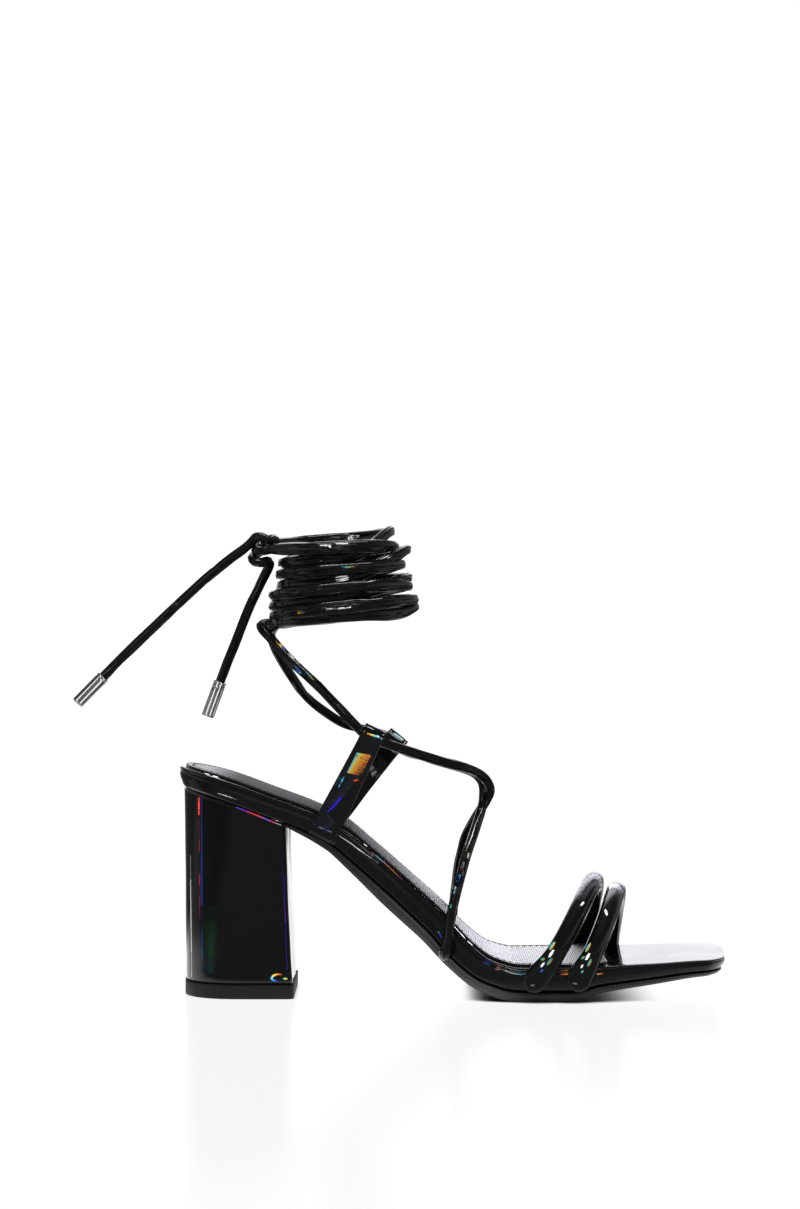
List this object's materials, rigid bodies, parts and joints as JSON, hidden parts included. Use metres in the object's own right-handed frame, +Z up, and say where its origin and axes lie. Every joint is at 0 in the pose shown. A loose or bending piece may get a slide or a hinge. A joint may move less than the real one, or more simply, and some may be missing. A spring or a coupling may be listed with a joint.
{
  "type": "block heel lace-up sandal",
  "caption": "High block-heel lace-up sandal for the right foot: padded tube toe straps, side heel tabs and patent laces crossed at the instep and tied round the ankle.",
  "frame": {"origin": "on the floor plane under the middle of the shoe's own length and width, laces left out", "axes": "+X from heel to toe, +Y to the inner side of this right shoe, +Z up from the floor"},
  "size_m": [0.2725, 0.0831, 0.1932],
  "materials": {
    "patent": "near-black patent with a glossy coat and faint rainbow fringes",
    "lace_patent": "creased near-black patent lace, glossy",
    "sock": "fine-grained dark lining, satin, pale at a grazing angle",
    "satin_sole": "dark satin sole",
    "rubber": "matte black rubber",
    "silver": "polished silver metal"
  },
  "bodies": {
    "root": {"platform_board": "patent", "outsole": "satin_sole", "insole": "sock", "heel_block": "patent", "top_lift": "rubber", "toe_strap_rear": "patent", "toe_strap_front": "patent", "heel_tab_outer": "patent", "heel_tab_inner": "patent", "instep_lacing": "lace_patent", "ankle_tie_outer": "lace_patent", "ankle_tie_inner": "lace_patent", "ankle_wrap": "lace_patent", "ankle_knot": "lace_patent", "lace_end_long": "lace_patent", "lace_end_short": "lace_patent", "lace_tip_long": "silver", "lace_tip_short": "silver"}
  },
  "joints": []
}
